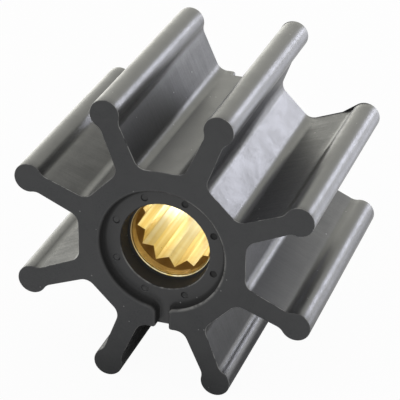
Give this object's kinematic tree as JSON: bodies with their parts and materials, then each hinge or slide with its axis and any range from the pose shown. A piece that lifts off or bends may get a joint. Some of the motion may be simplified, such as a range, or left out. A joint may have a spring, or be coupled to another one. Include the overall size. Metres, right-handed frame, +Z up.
{
  "type": "flexible pump impeller",
  "caption": "Flexible rubber impeller for a marine raw-water pump: straight bulb-tipped vanes on a hub bonded round a splined brass insert.",
  "frame": {"origin": "on the shaft line, halfway between the two end faces", "axes": "+Y along the shaft line from the front end face to the back one, +Z up with the impeller lying on the tips of its two lowest vanes, +X to the right seen from the front"},
  "size_m": [0.0606, 0.05, 0.0606],
  "materials": {
    "rubber": "moulded black rubber, matt end faces and satin vanes",
    "brass": "machined, with streaks along the broached splines"
  },
  "bodies": {
    "root": {"vaned_rubber_body": "rubber", "splined_brass_insert": "brass"}
  },
  "joints": []
}
